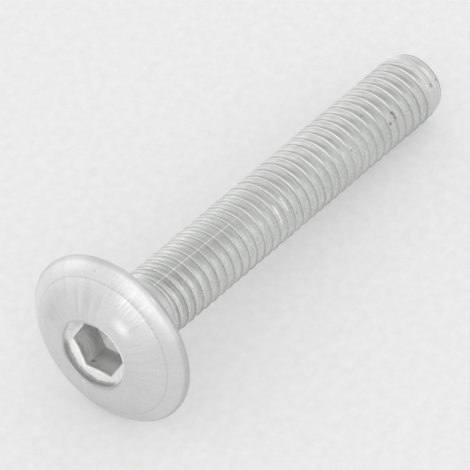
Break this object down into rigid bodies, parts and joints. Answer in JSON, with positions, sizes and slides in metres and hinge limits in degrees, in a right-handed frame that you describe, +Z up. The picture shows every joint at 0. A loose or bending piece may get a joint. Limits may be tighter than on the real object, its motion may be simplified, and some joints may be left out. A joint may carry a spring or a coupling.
{
  "type": "button head screw",
  "caption": "Button head screw with a low, wide domed head, a hexagon socket in a round recess, and a plain neck before its metric thread, lying on its side.",
  "frame": {"origin": "on the ground below the middle of the screw's whole length, where it lies on the rim of its head and the last full crest of its thread", "axes": "+X towards the tip of the screw, +Z up, and +Y to the left of the screw seen from its head"},
  "size_m": [0.043, 0.0148, 0.0147],
  "materials": {
    "plated_steel": "bright plated, fine turning marks"
  },
  "bodies": {
    "root": {"screw": "plated_steel"}
  },
  "joints": []
}
